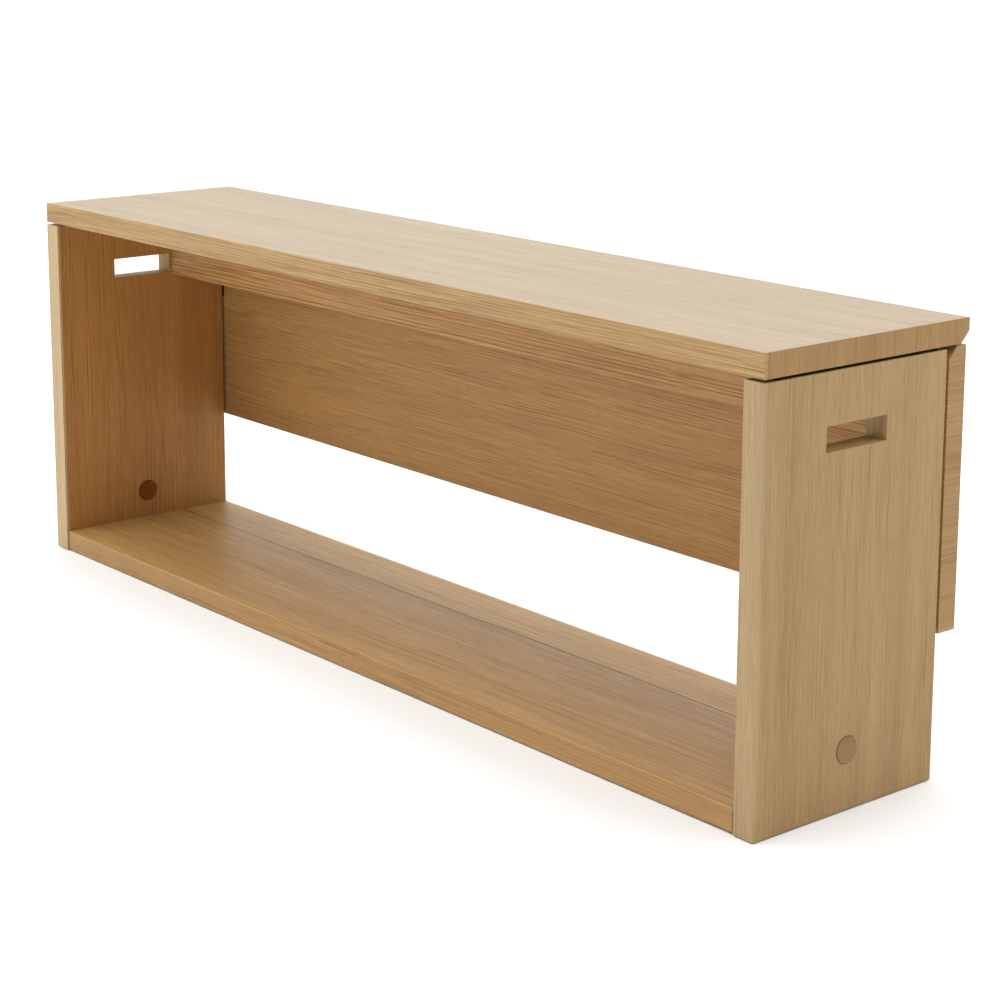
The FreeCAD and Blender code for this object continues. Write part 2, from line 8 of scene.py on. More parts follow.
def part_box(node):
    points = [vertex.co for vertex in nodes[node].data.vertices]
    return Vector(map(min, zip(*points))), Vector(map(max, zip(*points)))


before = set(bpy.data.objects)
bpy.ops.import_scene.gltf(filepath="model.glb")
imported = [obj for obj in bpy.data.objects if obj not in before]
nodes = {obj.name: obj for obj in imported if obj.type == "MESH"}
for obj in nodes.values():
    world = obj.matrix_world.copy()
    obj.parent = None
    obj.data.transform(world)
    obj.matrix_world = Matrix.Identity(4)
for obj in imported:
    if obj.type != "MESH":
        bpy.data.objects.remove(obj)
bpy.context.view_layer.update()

# Camera, in pixels of the 999 by 999 picture, radians and metres.
PICTURE_SIDE = 999
SENSOR_WIDTH = 36.0
FOCAL_PIXELS = 2320.248
CAMERA_YAW = 0.8735
CAMERA_PITCH = 0.1951
CAMERA_ROLL = 0.0036
CAMERA_PLACE = Vector((3.1653, -2.5115, 1.342))
CAMERA_SHIFT_Y = -0.1496

# White backdrop: the side of the room that it fills, its strength, and the strength opposite to it.
BACKDROP_SIDE = (-0.76, 0.65, 0.0)
BACKDROP_GLOW = 1.08
OPPOSITE_GLOW = 0.08

# Soft boxes: place, target, side in metres and power in watts.
SOFT_BOXES = {
    "key_front_left": ((-2.2, -3.2, 2.4), (-0.2, 0.0, 0.4), 2.5, 38.0),
    "side_rear_right": ((3.0, 2.2, 1.6), (1.0, 0.0, 0.4), 2.0, 16.0),
}

# Light from above: the direction that it comes from, its strength, and its spread in degrees.
SUN_SIDE = (0.0, -0.1, 1.0)
SUN_STRENGTH = 2.8
SUN_SPREAD = 80.0

# Half the side of the floor, in metres.
FLOOR_HALF = 60.0

# Pieces that end in a running number.
BAR_COUNT = 3
HINGE_COUNT = 4

# Index of the axis that the wood's grain follows, or that a board's face looks along.
ALONG_X = 0
ALONG_Y = 1
ALONG_Z = 2

# Sockets of the colour mixer, which has several of the same name.
MIX_AMOUNT = 0
MIX_UNDER = 6
MIX_OVER = 7
MIX_RESULT = 2

# Levels that most of a noise lies between, and the share of a noise offset along each axis.
NOISE_SPAN = (0.3, 0.7)
OFFSET_SHARES = (1.0, 1.7, 2.3)

# Grain streaks: length and width in metres, noise levels where they begin and are full, offset step.
STREAKS = {
    "bands": ((1.20, 0.050), (0.30, 0.70), 1.0),
    "zones": ((0.50, 0.016), (0.30, 0.56), 2.0),
    "late_wood": ((0.28, 0.0015), (0.51, 0.59), 3.0),
    "early_wood": ((0.28, 0.0015), (0.47, 0.38), 3.0),
    "unbroken": ((0.26, 0.005), (0.36, 0.58), 5.0),
    "fibre": ((0.09, 0.0010), (0.30, 0.70), 7.0),
    "ticks": ((0.055, 0.0010), (0.57, 0.65), 11.0),
    "pores": ((0.007, 0.0005), (0.58, 0.72), 13.0),
}

# Noise offset of each oak finish, so that no two have the same grain.
GRAIN_OFFSETS = {
    "oak_top": 0.0,
    "oak_outer_plugs": 23.0,
    "oak_inner_plugs": 29.0,
    "oak_top_front": 31.0,
    "oak_top_ends": 37.0,
    "oak_leaf": 41.0,
    "oak_leaf_free": 43.0,
    "oak_leaf_ends": 47.0,
    "oak_panel_left": 51.0,
    "oak_panel_right": 53.0,
    "oak_edge_left": 57.0,
    "oak_edge_right": 59.0,
    "oak_rail": 61.0,
    "oak_shelf_front_board": 67.0,
    "oak_shelf_rear_board": 71.0,
    "oak_shelf_front": 73.0,
    "oak_knobs": 79.0,
}

# Sideways wander of the grain: length and width of its waves, and its reach, in metres.
DRIFT_SIZE = (0.55, 0.09)
GRAIN_DRIFT = 0.012

# Arches of a flat-sawn board: size in metres, offset step, noise step between two, and their dark share.
ARCH_SIZE = (0.55, 0.045)
ARCH_OFFSET = 17.0
ARCH_STEP = 0.022
ARCH_DARK = 0.45

# Parts of a growth ring where its dark late wood begins and is full.
RING_LEVELS = (0.52, 0.84)

# Share of each colour channel that is left in the dark late wood.
LATE_WOOD = (0.50, 0.42, 0.32)

# Tone of the oak: its level, what bands and fibre add to it, and its darkest and palest shade.
TONE_LEVEL = 0.20
BAND_TONE = 0.40
FIBRE_TONE = 0.24
DARKEST_TONE = 0.80
PALEST_TONE = 1.18

# Pale lines: their shade, and their strength beside the dark lines'.
PALE_LINE_SHADE = 1.30
PALE_LINE_SHARE = 0.7

# Strength of the pores beside the ticks'.
PORE_SHARE = 0.6

# Roughness that dark lines and pores add to the lacquer.
LINE_ROUGHNESS = 0.10
PORE_ROUGHNESS = 0.12

# Relief of the oak: its level, what each kind of grain adds, its depth in metres and its strength.
RELIEF_LEVEL = 0.5
FIBRE_RELIEF = 0.25
TICK_RELIEF = -0.5
PORE_RELIEF = -0.6
RELIEF_DEPTH = 0.00025
RELIEF_STRENGTH = 0.35

# Eased edges: samples of the bevel, and the cosines of its turn where an edge begins and is full.
BEVEL_SAMPLES = 4
EDGE_TURNS = (0.98, 0.75)

# Depth in metres of the recoloured face whose colour differs by painted shade, and the part of it that
# has the full colour.
SHADED_FACE_DEPTH = 0.0006
SHADED_FACE_FULL = 0.5

# Half the shelf seam's dark joint line, and the widths of the painted shadow at the front edging's ends,
# in metres.
SEAM_HALF = 0.0019
LEFT_END_SHADOW = 0.0026
RIGHT_END_SHADOW = 0.0066

# Parts of the seam's and the end shadows' widths that are fully dark, and how dark that is.
SEAM_FULL = 0.6
END_SHADOW_FULL = 0.5
JOINT_DARKNESS = 0.8

# Joint line round a plug: distances inside its outline where it begins and is full, and its shade.
RIM_START = 0.0018
RIM_FULL = 0.0008
RIM_SHADE = 0.60

# Length and width in metres of the beech's streaks and flecks and of the steel's brush lines.
BEECH_STREAK = (0.12, 0.006)
BEECH_FLECK = (0.004, 0.0006)
BRUSH_LINE = (0.05, 0.0004)

# Noise levels where a beech fleck begins and is full.
FLECK_LEVELS = (0.60, 0.72)

# Features per metre of the noises that are the same along every axis.
PLATING_CLOUDS = 90.0
MOULD_GRAIN = 1400.0
MOULD_CLOUDS = 60.0
FELT_FIBRES = 900.0
FELT_TUFTS = 240.0
FLOOR_CLOUDS = 0.6

# Linear base colours of the oak.
TOP_OAK = (0.395, 0.295, 0.168)
TOP_EDGE_OAK = (0.455, 0.285, 0.116)
TOP_END_OAK = (0.340, 0.191, 0.060)
LEAF_END_OAK = (0.378, 0.221, 0.077)
FRAME_OAK = (0.40, 0.262, 0.113)
# Panels' inner faces: a warmer, darker copy of FRAME_OAK, painted shade with warm bounce light.
INNER_FRAME_OAK_SHADED = (0.48, 0.236, 0.066)
# Panel edgings: the left one painted paler and the right one darker, painted light falling off from the
# left.
LEFT_EDGE_OAK_LIT = (0.518, 0.373, 0.195)
RIGHT_EDGE_OAK_SHADED = (0.435, 0.302, 0.150)
RAIL_OAK = (0.53, 0.290, 0.096)
# Leaf board: a warm, dark copy of the top's oak, painted shade on the leaf's inner face.
LEAF_OAK_SHADED = (0.505, 0.280, 0.091)
SHELF_OAK = (0.48, 0.288, 0.106)
SHELF_REAR_OAK = (0.582, 0.362, 0.130)
SHELF_EDGE_OAK = (0.445, 0.256, 0.090)
PLUG_OAK = (0.315, 0.202, 0.086)
# Inner plugs: darker end grain, deepened with the inner faces' painted warm shade.
INNER_PLUG_OAK_SHADED = (0.215, 0.070, 0.006)
# Dark of the shelf seam's joint line and of the painted shadow at the front edging's ends.
JOINT_AND_SHADOW_DARK = (0.11, 0.046, 0.010)

# Linear base colours of the other materials.
BEECH = (0.50, 0.33, 0.18)
STEEL_DULL = (0.40, 0.40, 0.41)
STEEL_BRIGHT = (0.56, 0.56, 0.55)
STEEL_WORN = (0.70, 0.70, 0.69)
# Spacers: near-black plastic, darkened and warmed further as painted shade in the gap under the top.
SPACER_PLASTIC_AND_SHADE = (0.014, 0.009, 0.006)
BUMPER_RUBBER = (0.045, 0.022, 0.012)
PAD_FELT = (0.10, 0.085, 0.07)
FLOOR_DULL = (0.90, 0.90, 0.90)
FLOOR_BRIGHT = (0.93, 0.93, 0.93)


def new_material(name):
    """An empty material with a Principled shader wired to its output."""
    material = bpy.data.materials.new(name)
    material.use_nodes = True
    graph = material.node_tree
    graph.nodes.clear()
    output = graph.nodes.new("ShaderNodeOutputMaterial")
    shader = graph.nodes.new("ShaderNodeBsdfPrincipled")
    graph.links.new(shader.outputs["BSDF"], output.inputs["Surface"])
    return material, graph, shader


def row_coords(graph):
    """Place on the table in metres, fixed to the piece."""
    return graph.nodes.new("ShaderNodeTexCoord").outputs["Object"]


def scaled_coords(graph, coords, scale, offset=0.0):
    """Coordinates times a scale along each axis, moved on by a noise offset."""
    mapping = graph.nodes.new("ShaderNodeMapping")
    mapping.inputs["Scale"].default_value = scale
    mapping.inputs["Location"].default_value = [offset * share for share in OFFSET_SHARES]
    graph.links.new(coords, mapping.inputs["Vector"])
    return mapping.outputs["Vector"]


def noise_node(graph, coords, scale, detail, offset=0.0):
    """A noise texture with its own feature size along each axis."""
    texture = graph.nodes.new("ShaderNodeTexNoise")
    texture.inputs["Scale"].default_value = 1.0
    texture.inputs["Detail"].default_value = detail
    graph.links.new(scaled_coords(graph, coords, scale, offset), texture.inputs["Vector"])
    return texture


def noise(graph, scale, detail=2.0, offset=0.0):
    """Smooth noise, 0 to 1, in metres on the table."""
    return noise_node(graph, row_coords(graph), scale, detail, offset).outputs["Fac"]


def even_noise(graph, count, detail=2.0, offset=0.0):
    """Smooth noise, 0 to 1, with the same count of features per metre along every axis."""
    return noise(graph, (count, count, count), detail, offset)


def remap(graph, value, low, high, to_low=0.0, to_high=1.0):
    """Stretches the span from low to high onto another span, and holds it there."""
    node = graph.nodes.new("ShaderNodeMapRange")
    node.inputs["From Min"].default_value = low
    node.inputs["From Max"].default_value = high
    node.inputs["To Min"].default_value = to_low
    node.inputs["To Max"].default_value = to_high
    graph.links.new(value, node.inputs["Value"])
    return node.outputs["Result"]


def scaled_sum(graph, value, weight, rest):
    """value times weight, plus rest, which is a socket or a number."""
    node = graph.nodes.new("ShaderNodeMath")
    node.operation = "MULTIPLY_ADD"
    node.inputs[1].default_value = weight
    graph.links.new(value, node.inputs[0])
    if isinstance(rest, float):
        node.inputs[2].default_value = rest
    else:
        graph.links.new(rest, node.inputs[2])
    return node.outputs["Value"]


def product(graph, first, second):
    """One value times another."""
    node = graph.nodes.new("ShaderNodeMath")
    node.operation = "MULTIPLY"
    graph.links.new(first, node.inputs[0])
    graph.links.new(second, node.inputs[1])
    return node.outputs["Value"]


def ramp(graph, value, stops):
    """Colour by value, from a list of (place, colour)."""
    node = graph.nodes.new("ShaderNodeValToRGB")
    elements = node.color_ramp.elements
    while len(elements) < len(stops):
        elements.new(0.5)
    for element, (place, colour) in zip(elements, stops):
        element.position = place
        element.color = (*colour, 1.0)
    graph.links.new(value, node.inputs["Fac"])
    return node.outputs["Color"]


def tint(graph, amount, colour, base, mode="MIX"):
    """Lays a colour over a base by an amount that varies over the surface."""
    node = graph.nodes.new("ShaderNodeMix")
    node.data_type = "RGBA"
    node.blend_type = mode
    graph.links.new(amount, node.inputs[MIX_AMOUNT])
    graph.links.new(base, node.inputs[MIX_UNDER])
    node.inputs[MIX_OVER].default_value = (*colour, 1.0)
    return node.outputs[MIX_RESULT]


def faded_tint(graph, amount, most, colour, base):
    """Lays a colour over a base, with its full strength cut down to a share."""
    return tint(graph, remap(graph, amount, 0.0, 1.0, to_high=most), colour, base)


def eased_edge(graph, radius):
    """The normal of a slightly rounded edge, and how near the edge a point is, 0 to 1."""
    bevel = graph.nodes.new("ShaderNodeBevel")
    bevel.samples = BEVEL_SAMPLES
    bevel.inputs["Radius"].default_value = radius
    geometry = graph.nodes.new("ShaderNodeNewGeometry")
    turn = graph.nodes.new("ShaderNodeVectorMath")
    turn.operation = "DOT_PRODUCT"
    graph.links.new(bevel.outputs["Normal"], turn.inputs[0])
    graph.links.new(geometry.outputs["Normal"], turn.inputs[1])
    nearness = remap(graph, turn.outputs["Value"], *EDGE_TURNS)
    return bevel.outputs["Normal"], nearness


def bump(graph, shader, height, depth, strength, normal=None):
    """Surface relief from a height value, in metres of depth."""
    node = graph.nodes.new("ShaderNodeBump")
    node.inputs["Strength"].default_value = strength
    node.inputs["Distance"].default_value = depth
    graph.links.new(height, node.inputs["Height"])
    if normal is not None:
        graph.links.new(normal, node.inputs["Normal"])
    graph.links.new(node.outputs["Normal"], shader.inputs["Normal"])


def grain_scale(axis, length, width):
    """Feature scale for streaks of that length along the grain and width across it."""
    scale = [1.0 / width] * 3
    scale[axis] = 1.0 / length
    return scale


def shade(colour, factor):
    """A darker or paler copy of a colour."""
    return tuple(min(1.0, channel * factor) for channel in colour)


def drifting_coords(graph, axis, offset):
    """Metres on the table that wander slowly sideways, so the grain isn't dead straight."""
    coords = row_coords(graph)
    texture = noise_node(graph, coords, grain_scale(axis, *DRIFT_SIZE), 2.0, offset)
    reach = [GRAIN_DRIFT] * 3
    reach[axis] = 0.0
    drift = graph.nodes.new("ShaderNodeVectorMath")
    drift.operation = "MULTIPLY_ADD"
    drift.inputs[1].default_value = reach
    graph.links.new(texture.outputs["Color"], drift.inputs[0])
    graph.links.new(coords, drift.inputs[2])
    return drift.outputs["Vector"]


def streaks(graph, coords, axis, size, levels, offset):
    """Streaks along the grain, 0 up to one noise level and 1 from another."""
    texture = noise_node(graph, coords, grain_scale(axis, *size), 1.0, offset)
    return remap(graph, texture.outputs["Fac"], *levels)


def growth_rings(graph, coords, axis, step):
    """Even growth rings: each one darkens across the grain and then stops, 0 to 1."""
    across = [1.0 / step] * 3
    across[axis] = 0.0
    count = graph.nodes.new("ShaderNodeVectorMath")
    count.operation = "DOT_PRODUCT"
    count.inputs[1].default_value = across
    graph.links.new(coords, count.inputs[0])
    part = graph.nodes.new("ShaderNodeMath")
    part.operation = "FRACT"
    graph.links.new(count.outputs["Value"], part.inputs[0])
    return remap(graph, part.outputs["Value"], *RING_LEVELS)


def arches(graph, coords, axis, offset):
    """Pointed arches of a flat-sawn board: level lines of a slow noise."""
    field = noise_node(graph, coords, grain_scale(axis, *ARCH_SIZE), 1.0, offset).outputs["Fac"]
    fold = graph.nodes.new("ShaderNodeMath")
    fold.operation = "PINGPONG"
    fold.inputs[1].default_value = ARCH_STEP
    graph.links.new(field, fold.inputs[0])
    return remap(graph, fold.outputs["Value"], ARCH_STEP * ARCH_DARK, 0.0)


def oak(
    name, axis, colour,
    lines=0.25, rings=0.15, step=0.006, ticks=0.4, figure=0.0,
    rough=0.46, gloss=0.35, ease=0.001, edge_highlight=0.4, edge_highlight_shade=1.35,
):
    """Oak veneer: broad bands, growth rings, crowded lines, open pores, satin lacquer and a painted
    highlight along its edges.
    """
    material, graph, shader = new_material(name)
    offset = GRAIN_OFFSETS[name]
    coords = drifting_coords(graph, axis, offset)
    grain = {}
    for kind, (size, levels, offset_step) in STREAKS.items():
        grain[kind] = streaks(graph, coords, axis, size, levels, offset + offset_step)
    dark_line = product(graph, grain["late_wood"], grain["zones"])
    pale_line = product(graph, grain["early_wood"], grain["zones"])
    ring = product(graph, growth_rings(graph, coords, axis, step), grain["unbroken"])
    dark = tuple(channel * part for channel, part in zip(colour, LATE_WOOD))
    tone = scaled_sum(graph, grain["bands"], BAND_TONE, TONE_LEVEL)
    tone = scaled_sum(graph, grain["fibre"], FIBRE_TONE, tone)
    darkest = shade(colour, DARKEST_TONE)
    palest = shade(colour, PALEST_TONE)
    base = ramp(graph, tone, [(0.0, darkest), (0.5, colour), (1.0, palest)])
    if figure > 0.0:
        base = faded_tint(graph, arches(graph, coords, axis, offset + ARCH_OFFSET), figure, dark, base)
    base = faded_tint(graph, pale_line, lines * PALE_LINE_SHARE, shade(colour, PALE_LINE_SHADE), base)
    base = faded_tint(graph, dark_line, lines, dark, base)
    base = faded_tint(graph, ring, rings, dark, base)
    base = faded_tint(graph, grain["ticks"], ticks, dark, base)
    base = faded_tint(graph, grain["pores"], ticks * PORE_SHARE, dark, base)
    round_normal, near_edge = eased_edge(graph, ease)
    # Painted highlight on the eased edges.
    base = faded_tint(graph, near_edge, edge_highlight, shade(colour, edge_highlight_shade), base)
    graph.links.new(base, shader.inputs["Base Color"])
    roughness = scaled_sum(graph, dark_line, LINE_ROUGHNESS, rough)
    roughness = scaled_sum(graph, grain["pores"], PORE_ROUGHNESS, roughness)
    graph.links.new(roughness, shader.inputs["Roughness"])
    height = scaled_sum(graph, grain["fibre"], FIBRE_RELIEF, RELIEF_LEVEL)
    height = scaled_sum(graph, grain["pores"], PORE_RELIEF, height)
    height = scaled_sum(graph, grain["ticks"], TICK_RELIEF, height)
    bump(graph, shader, height, RELIEF_DEPTH, RELIEF_STRENGTH, round_normal)
    shader.inputs["Specular IOR Level"].default_value = gloss
    return material


def recolour(material, amount, colour, mode="MIX"):
    """Lays a colour over a finished material's base colour."""
    graph = material.node_tree
    base = graph.nodes["Principled BSDF"].inputs["Base Color"]
    graph.links.new(tint(graph, amount, colour, base.links[0].from_socket, mode), base)
    return material


def distance_from(graph, place, *axes):
    """Distance in metres from a place, measured along the given axes only."""
    used = [float(axis in axes) for axis in (ALONG_X, ALONG_Y, ALONG_Z)]
    coords = scaled_coords(graph, row_coords(graph), used)
    away = graph.nodes.new("ShaderNodeVectorMath")
    away.operation = "DISTANCE"
    away.inputs[1].default_value = [part * share for part, share in zip(place, used)]
    graph.links.new(coords, away.inputs[0])
    return away.outputs["Value"]


def face_shade_recolour(material, plain, new_face_colour, axis, place):
    """Gives the face of a board that goes through a place another colour, so that its two faces differ by
    painted shade.
    """
    depth = distance_from(material.node_tree, place, axis)
    on_face = remap(material.node_tree, depth, SHADED_FACE_DEPTH, SHADED_FACE_DEPTH * SHADED_FACE_FULL)
    gain = [new / old for new, old in zip(new_face_colour, plain)]
    return recolour(material, on_face, gain, "MULTIPLY")


def joint_line_and_shadow(material, place, axis, width, full):
    """Darkens a board beside a joint at a place on one axis, full over a part of its width; used for the
    shelf seam's dark line and for painted shadow at the front edging's ends.
    """
    away = distance_from(material.node_tree, place, axis)
    near = remap(material.node_tree, away, width, width * full, to_high=JOINT_DARKNESS)
    return recolour(material, near, JOINT_AND_SHADOW_DARK)


def oak_plug(name, axis, colour, plug):
    """Turned oak plug: grain across its face and a dark joint line round its rim."""
    low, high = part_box(plug)
    radius = (high.z - low.z) / 2.0
    material = oak(name, axis, colour, lines=0.22, rings=0.14, gloss=0.08, edge_highlight=0.0)
    away = distance_from(material.node_tree, (low + high) / 2.0, ALONG_Y, ALONG_Z)
    rim = remap(material.node_tree, away, radius - RIM_START, radius - RIM_FULL)
    return recolour(material, rim, shade(colour, RIM_SHADE))


def beech(name, axis, colour):
    """Raw beech: even colour with short fine flecks."""
    material, graph, shader = new_material(name)
    soft = remap(graph, noise(graph, grain_scale(axis, *BEECH_STREAK)), *NOISE_SPAN)
    flecks = noise(graph, grain_scale(axis, *BEECH_FLECK), detail=1.0, offset=5.0)
    fleck = remap(graph, flecks, *FLECK_LEVELS)
    dark = shade(colour, 0.86)
    pale = shade(colour, 1.08)
    fleck_colour = shade(colour, 0.6)
    base = ramp(graph, soft, [(0.0, dark), (1.0, pale)])
    base = faded_tint(graph, fleck, most=0.45, colour=fleck_colour, base=base)
    graph.links.new(base, shader.inputs["Base Color"])
    roughness = remap(graph, soft, 0.0, 1.0, to_low=0.55, to_high=0.68)
    graph.links.new(roughness, shader.inputs["Roughness"])
    round_normal, _ = eased_edge(graph, radius=0.0006)
    bump(graph, shader, fleck, depth=0.0002, strength=0.25, normal=round_normal)
    return material


def plated_steel(name, axis):
    """Zinc-plated steel: fine brush lines, cloudy plating and bright worn edges."""
    material, graph, shader = new_material(name)
    brushed = noise(graph, grain_scale(axis, *BRUSH_LINE))
    cloud = remap(graph, even_noise(graph, PLATING_CLOUDS, detail=3.0, offset=4.0), *NOISE_SPAN)
    base = ramp(graph, cloud, [(0.0, STEEL_DULL), (1.0, STEEL_BRIGHT)])
    round_normal, near_edge = eased_edge(graph, radius=0.0005)
    base = faded_tint(graph, near_edge, most=0.6, colour=STEEL_WORN, base=base)
    graph.links.new(base, shader.inputs["Base Color"])
    shader.inputs["Metallic"].default_value = 1.0
    roughness = remap(graph, brushed, *NOISE_SPAN, to_low=0.28, to_high=0.46)
    graph.links.new(roughness, shader.inputs["Roughness"])
    bump(graph, shader, brushed, depth=0.00005, strength=0.3, normal=round_normal)
    return material


def moulded(name, colour, gloss):
    """Matt moulded rubber or plastic: fine texture with dusty lighter edges."""
    material, graph, shader = new_material(name)
    grain = even_noise(graph, MOULD_GRAIN)
    cloud = remap(graph, even_noise(graph, MOULD_CLOUDS, detail=3.0, offset=2.0), *NOISE_SPAN)
    dark = shade(colour, 0.8)
    pale = shade(colour, 1.3)
    dusty = shade(colour, 2.4)
    base = ramp(graph, cloud, [(0.0, dark), (1.0, pale)])
    round_normal, near_edge = eased_edge(graph, radius=0.0006)
    base = faded_tint(graph, near_edge, most=0.5, colour=dusty, base=base)
    graph.links.new(base, shader.inputs["Base Color"])
    roughness = remap(graph, grain, *NOISE_SPAN, to_low=0.72, to_high=0.88)
    graph.links.new(roughness, shader.inputs["Roughness"])
    shader.inputs["Specular IOR Level"].default_value = gloss
    bump(graph, shader, grain, depth=0.0001, strength=0.4, normal=round_normal)
    return material


def felt(name, colour):
    """Pressed felt: short matted fibres with no gloss."""
    material, graph, shader = new_material(name)
    fibres = remap(graph, even_noise(graph, FELT_FIBRES, detail=4.0), *NOISE_SPAN)
    tufts = remap(graph, even_noise(graph, FELT_TUFTS, offset=6.0), *NOISE_SPAN)
    dark = shade(colour, 0.6)
    pale = shade(colour, 1.5)
    tuft_colour = shade(colour, 1.2)
    base = ramp(graph, fibres, [(0.0, dark), (1.0, pale)])
    base = faded_tint(graph, tufts, most=0.4, colour=tuft_colour, base=base)
    graph.links.new(base, shader.inputs["Base Color"])
    roughness = remap(graph, tufts, 0.0, 1.0, to_low=0.88, to_high=0.98)
    graph.links.new(roughness, shader.inputs["Roughness"])
    shader.inputs["Sheen Weight"].default_value = 0.3
    bump(graph, shader, fibres, depth=0.0004, strength=0.6)
    return material


def studio_floor(name):
    """Plain pale floor with a faint unevenness."""
    material, graph, shader = new_material(name)
    soft = remap(graph, even_noise(graph, FLOOR_CLOUDS), *NOISE_SPAN)
    base = ramp(graph, soft, [(0.0, FLOOR_DULL), (1.0, FLOOR_BRIGHT)])
    graph.links.new(base, shader.inputs["Base Color"])
    roughness = remap(graph, soft, 0.0, 1.0, to_low=0.85, to_high=0.95)
    graph.links.new(roughness, shader.inputs["Roughness"])
    shader.inputs["Specular IOR Level"].default_value = 0.1
    return material


def dress(material, *names):
    """Gives the objects of CAD nodes the finished material."""
    for name in names:
        mesh = nodes[name].data
        mesh.materials.clear()
        mesh.materials.append(material)


def numbered(stem, count):
    """Node names that end in a running number."""
    return [f"{stem}_{index}" for index in range(1, count + 1)]


def dress_top():
    """The top: pale lacquered board with its edgings."""
    board = oak("oak_top", ALONG_X, TOP_OAK, lines=0.28, ticks=0.2, rough=0.36, gloss=0.85)
    front = oak("oak_top_front", ALONG_X, TOP_EDGE_OAK, lines=0.62, rings=0.52, step=0.005)
    ends = oak("oak_top_ends", ALONG_Z, TOP_END_OAK, lines=0.32, rings=0.14)
    dress(board, "top_board")
    dress(front, "top_front_edge")
    dress(ends, "top_end_left", "top_end_right")


def dress_leaf():
    """The leaf: inner face painted with warm shade, and an outer face in the top's colour, which matches
    the top when the leaf is raised.
    """
    outer_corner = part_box("leaf_board")[1]
    board = oak(
        "oak_leaf", ALONG_X, LEAF_OAK_SHADED,
        lines=0.44, rings=0.48, step=0.0055, ticks=0.28, figure=0.14,
    )
    free_edge = oak("oak_leaf_free", ALONG_X, TOP_EDGE_OAK, lines=0.40, rings=0.30)
    ends = oak("oak_leaf_ends", ALONG_Y, LEAF_END_OAK, lines=0.36, rings=0.60, step=0.003)
    # The board's own colour is painted warm shade of the inner face; the outer face gets the top's oak.
    dress(face_shade_recolour(board, LEAF_OAK_SHADED, TOP_OAK, ALONG_Y, outer_corner), "leaf_board")
    dress(free_edge, "leaf_free_edge")
    dress(ends, "leaf_end_left", "leaf_end_right")


def dress_frame():
    """The side panels with painted warm shade on their inner faces, their edgings painted paler on the
    left and darker on the right as light falls, and the rail.
    """
    left = oak("oak_panel_left", ALONG_Z, FRAME_OAK, lines=0.46, rings=0.16, step=0.009, gloss=0.22)
    right = oak("oak_panel_right", ALONG_Z, FRAME_OAK, lines=0.32, rings=0.14, step=0.009, gloss=0.22)
    left_inner_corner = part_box("side_panel_left")[1]
    right_inner_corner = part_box("side_panel_right")[0]
    # Inner faces get a warmer, darker colour: painted shade with warm bounce light.
    dress(face_shade_recolour(left, FRAME_OAK, INNER_FRAME_OAK_SHADED, ALONG_X, left_inner_corner), "side_panel_left")
    dress(face_shade_recolour(right, FRAME_OAK, INNER_FRAME_OAK_SHADED, ALONG_X, right_inner_corner), "side_panel_right")
    # Left edging painted paler, right edging darker: painted light falling off from the left.
    dress(oak("oak_edge_left", ALONG_Z, LEFT_EDGE_OAK_LIT, ticks=0.3), "panel_edge_left")
    dress(oak("oak_edge_right", ALONG_Z, RIGHT_EDGE_OAK_SHADED, ticks=0.3), "panel_edge_right")
    dress(oak("oak_rail", ALONG_X, RAIL_OAK, lines=0.66, rings=0.95, step=0.007), "top_rail")


def dress_shelf():
    """The two shelf boards with the dark seam line between them, and the front edging with a painted
    highlight on its arrises and painted shadow at its ends.
    """
    seam = (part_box("shelf_front_board")[1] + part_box("shelf_rear_board")[0]) / 2.0
    for node, colour in (("shelf_front_board", SHELF_OAK), ("shelf_rear_board", SHELF_REAR_OAK)):
        board = oak(
            f"oak_{node}", ALONG_X, colour,
            lines=0.50, rings=0.50, step=0.009, rough=0.38, gloss=0.55,
        )
        dress(joint_line_and_shadow(board, seam, ALONG_Y, SEAM_HALF, SEAM_FULL), node)
    # The front edging gets a strong painted highlight along its arrises.
    front = oak(
        "oak_shelf_front", ALONG_X, SHELF_EDGE_OAK,
        lines=0.55, rings=0.40, ease=0.0024, edge_highlight=0.9, edge_highlight_shade=2.4,
    )
    # Painted shadow at both ends where the panels meet the edging, wider at the right end.
    for corner, width in zip(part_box("shelf_front_edge"), (LEFT_END_SHADOW, RIGHT_END_SHADOW)):
        joint_line_and_shadow(front, corner, ALONG_X, width, END_SHADOW_FULL)
    dress(front, "shelf_front_edge")


